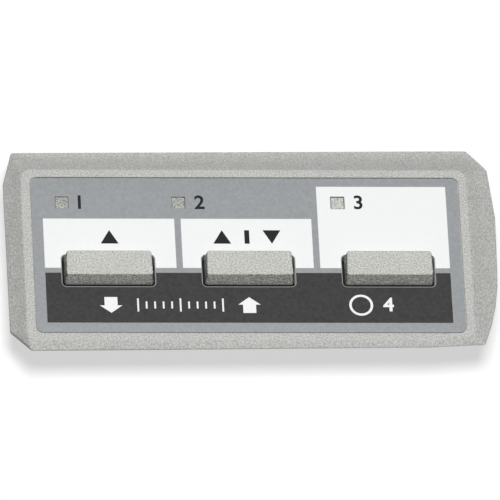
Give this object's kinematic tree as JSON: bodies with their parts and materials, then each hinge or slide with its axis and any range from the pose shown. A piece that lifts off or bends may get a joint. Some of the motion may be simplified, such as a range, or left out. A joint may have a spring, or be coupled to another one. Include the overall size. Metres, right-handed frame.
{
  "type": "dot matrix printer control panel",
  "caption": "Low moulded printer control panel with a printed label, bar push buttons over tact switches, square indicator windows and a circuit board behind.",
  "frame": {"origin": "centre of the pair of mounting screw holes, in the plane of the cover's rear rim", "axes": "+Z out of the panel's face, +X to the right along the row of buttons, +Y up the panel, away from the operator"},
  "size_m": [0.0989, 0.0481, 0.015],
  "materials": {
    "cover_plastic": "fine spark-eroded texture",
    "label_film": "smooth printed film",
    "button_plastic": "fine spark-eroded texture",
    "light_guide_plastic": "milky, faintly textured",
    "board_laminate": "phenolic paper laminate",
    "switch_plastic": "moulded",
    "plunger_plastic": "moulded",
    "spring_steel": "bright",
    "tinned_steel": "bright tin",
    "zinc_steel": "zinc plated",
    "solder": "bright solder",
    "lamp_green": "diffused lamp resin",
    "lamp_red": "diffused lamp resin",
    "lamp_orange": "diffused lamp resin",
    "resistor_lacquer": "lacquered",
    "capacitor_lacquer": "dipped lacquer",
    "connector_plastic": "moulded"
  },
  "bodies": {
    "panel": {"panel_housing": "cover_plastic", "control_label": "label_film", "light_guide_left": "light_guide_plastic", "light_guide_middle": "light_guide_plastic", "light_guide_right": "light_guide_plastic", "control_board": "board_laminate", "switch_base_left": "switch_plastic", "switch_base_middle": "switch_plastic", "switch_base_right": "switch_plastic", "switch_dome_left": "spring_steel", "switch_dome_middle": "spring_steel", "switch_dome_right": "spring_steel", "switch_cover_left": "tinned_steel", "switch_cover_middle": "tinned_steel", "switch_cover_right": "tinned_steel", "switch_terminals": "tinned_steel", "indicator_led_left": "lamp_green", "indicator_led_middle": "lamp_red", "indicator_led_right": "lamp_orange", "led_leads": "tinned_steel", "led_resistors": "resistor_lacquer", "resistor_leads": "tinned_steel", "filter_capacitors": "capacitor_lacquer", "capacitor_leads": "tinned_steel", "cable_connector": "connector_plastic", "connector_contacts": "tinned_steel", "solder_joints": "solder", "board_screws": "zinc_steel"},
    "button_left": {"button_left": "button_plastic"},
    "plunger_left": {"switch_plunger_left": "plunger_plastic"},
    "button_middle": {"button_middle": "button_plastic"},
    "plunger_middle": {"switch_plunger_middle": "plunger_plastic"},
    "button_right": {"button_right": "button_plastic"},
    "plunger_right": {"switch_plunger_right": "plunger_plastic"}
  },
  "joints": [
    {"name": "button_press_left", "type": "slide", "parent": "panel", "child": "button_left", "axis": [0, 0, -1], "range_m": [0, 0.0003], "stiffness_N_per_m": 1000, "springref_m": -0.0004},
    {"name": "plunger_travel_left", "type": "slide", "parent": "panel", "child": "plunger_left", "axis": [0, 0, -1], "range_m": [0, 0.0003], "deforming": ["switch_dome_left"]},
    {"name": "button_press_middle", "type": "slide", "parent": "panel", "child": "button_middle", "axis": [0, 0, -1], "range_m": [0, 0.0003], "stiffness_N_per_m": 1000, "springref_m": -0.0004},
    {"name": "plunger_travel_middle", "type": "slide", "parent": "panel", "child": "plunger_middle", "axis": [0, 0, -1], "range_m": [0, 0.0003], "deforming": ["switch_dome_middle"]},
    {"name": "button_press_right", "type": "slide", "parent": "panel", "child": "button_right", "axis": [0, 0, -1], "range_m": [0, 0.0003], "stiffness_N_per_m": 1000, "springref_m": -0.0004},
    {"name": "plunger_travel_right", "type": "slide", "parent": "panel", "child": "plunger_right", "axis": [0, 0, -1], "range_m": [0, 0.0003], "deforming": ["switch_dome_right"]}
  ],
  "couplings": [
    {"joint": "plunger_travel_left", "follows": "button_press_left", "ratio": 1},
    {"joint": "plunger_travel_middle", "follows": "button_press_middle", "ratio": 1},
    {"joint": "plunger_travel_right", "follows": "button_press_right", "ratio": 1}
  ]
}
